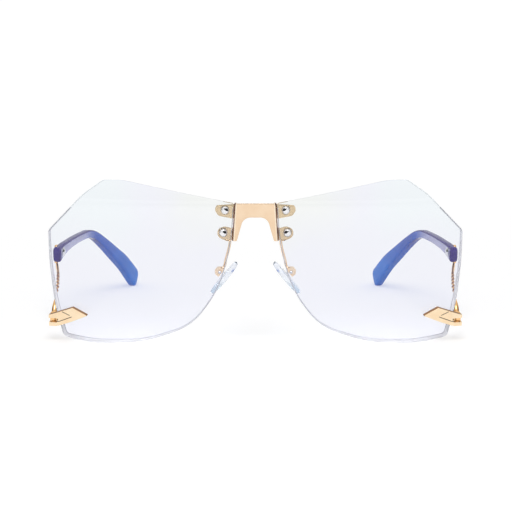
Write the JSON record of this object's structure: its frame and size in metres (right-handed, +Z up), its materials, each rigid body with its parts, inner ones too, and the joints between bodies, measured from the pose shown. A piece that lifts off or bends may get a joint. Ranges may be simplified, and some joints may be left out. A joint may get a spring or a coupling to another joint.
{
  "type": "rimless sunglasses",
  "caption": "Rimless sunglasses with large nearly clear lenses, a folded metal bridge, rocking nose pads and low-set ridged arms that carry drop-shaped folding temples.",
  "frame": {"origin": "on the ground under the middle of the open glasses' outer box; the ground touches the lower edges of both lenses and the tips of both temples", "axes": "+Z up, -Y the way the glasses face, +X to the wearer's left; both hinge axes are parallel to Z"},
  "size_m": [0.1544, 0.1556, 0.061],
  "materials": {
    "champagne_gold": "polished pale champagne gold plating",
    "steel": "polished",
    "clear_lens": "polished, nearly clear with a faint blue tint",
    "clear_plastic": "clear",
    "silicone": "soft, translucent",
    "violet_acetate": "polished, translucent blue violet"
  },
  "bodies": {
    "front": {"lens_left": "clear_lens", "lens_right": "clear_lens", "bridge": "champagne_gold", "bridge_screw_left_upper": "steel", "bridge_washer_left_upper": "clear_plastic", "bridge_nut_left_upper": "steel", "bridge_screw_left_lower": "steel", "bridge_washer_left_lower": "clear_plastic", "bridge_nut_left_lower": "steel", "pad_arm_left": "champagne_gold", "pad_box_left": "champagne_gold", "pad_screw_left": "steel", "hinge_plate_left": "champagne_gold", "hinge_screw_left": "champagne_gold", "back_plate_left": "champagne_gold", "plate_screw_left_inner": "steel", "plate_screw_left_outer": "steel", "bridge_screw_right_upper": "steel", "bridge_washer_right_upper": "clear_plastic", "bridge_nut_right_upper": "steel", "bridge_screw_right_lower": "steel", "bridge_washer_right_lower": "clear_plastic", "bridge_nut_right_lower": "steel", "pad_arm_right": "champagne_gold", "pad_box_right": "champagne_gold", "pad_screw_right": "steel", "hinge_plate_right": "champagne_gold", "hinge_screw_right": "champagne_gold", "back_plate_right": "champagne_gold", "plate_screw_right_inner": "steel", "plate_screw_right_outer": "steel"},
    "temple_left": {"temple_arm_left": "champagne_gold", "temple_left": "violet_acetate", "temple_screw_left": "steel"},
    "temple_right": {"temple_arm_right": "champagne_gold", "temple_right": "violet_acetate", "temple_screw_right": "steel"},
    "pad_left": {"nose_pad_left": "silicone", "pad_insert_left": "clear_plastic"},
    "pad_right": {"nose_pad_right": "silicone", "pad_insert_right": "clear_plastic"}
  },
  "joints": [
    {"name": "left_temple_fold", "type": "hinge", "parent": "front", "child": "temple_left", "pos_m": [0.07461, -0.05867, 0.00815], "axis": [0, 0, 1], "range_deg": [0, 80]},
    {"name": "right_temple_fold", "type": "hinge", "parent": "front", "child": "temple_right", "pos_m": [-0.07461, -0.05867, 0.00815], "axis": [0, 0, -1], "range_deg": [0, 75]},
    {"name": "left_pad_rock", "type": "hinge", "parent": "front", "child": "pad_left", "pos_m": [0.01302, -0.06608, 0.02683], "axis": [0, -1, 0], "range_deg": [-8, 8]},
    {"name": "right_pad_rock", "type": "hinge", "parent": "front", "child": "pad_right", "pos_m": [-0.01302, -0.06608, 0.02683], "axis": [0, -1, 0], "range_deg": [-8, 8]}
  ]
}
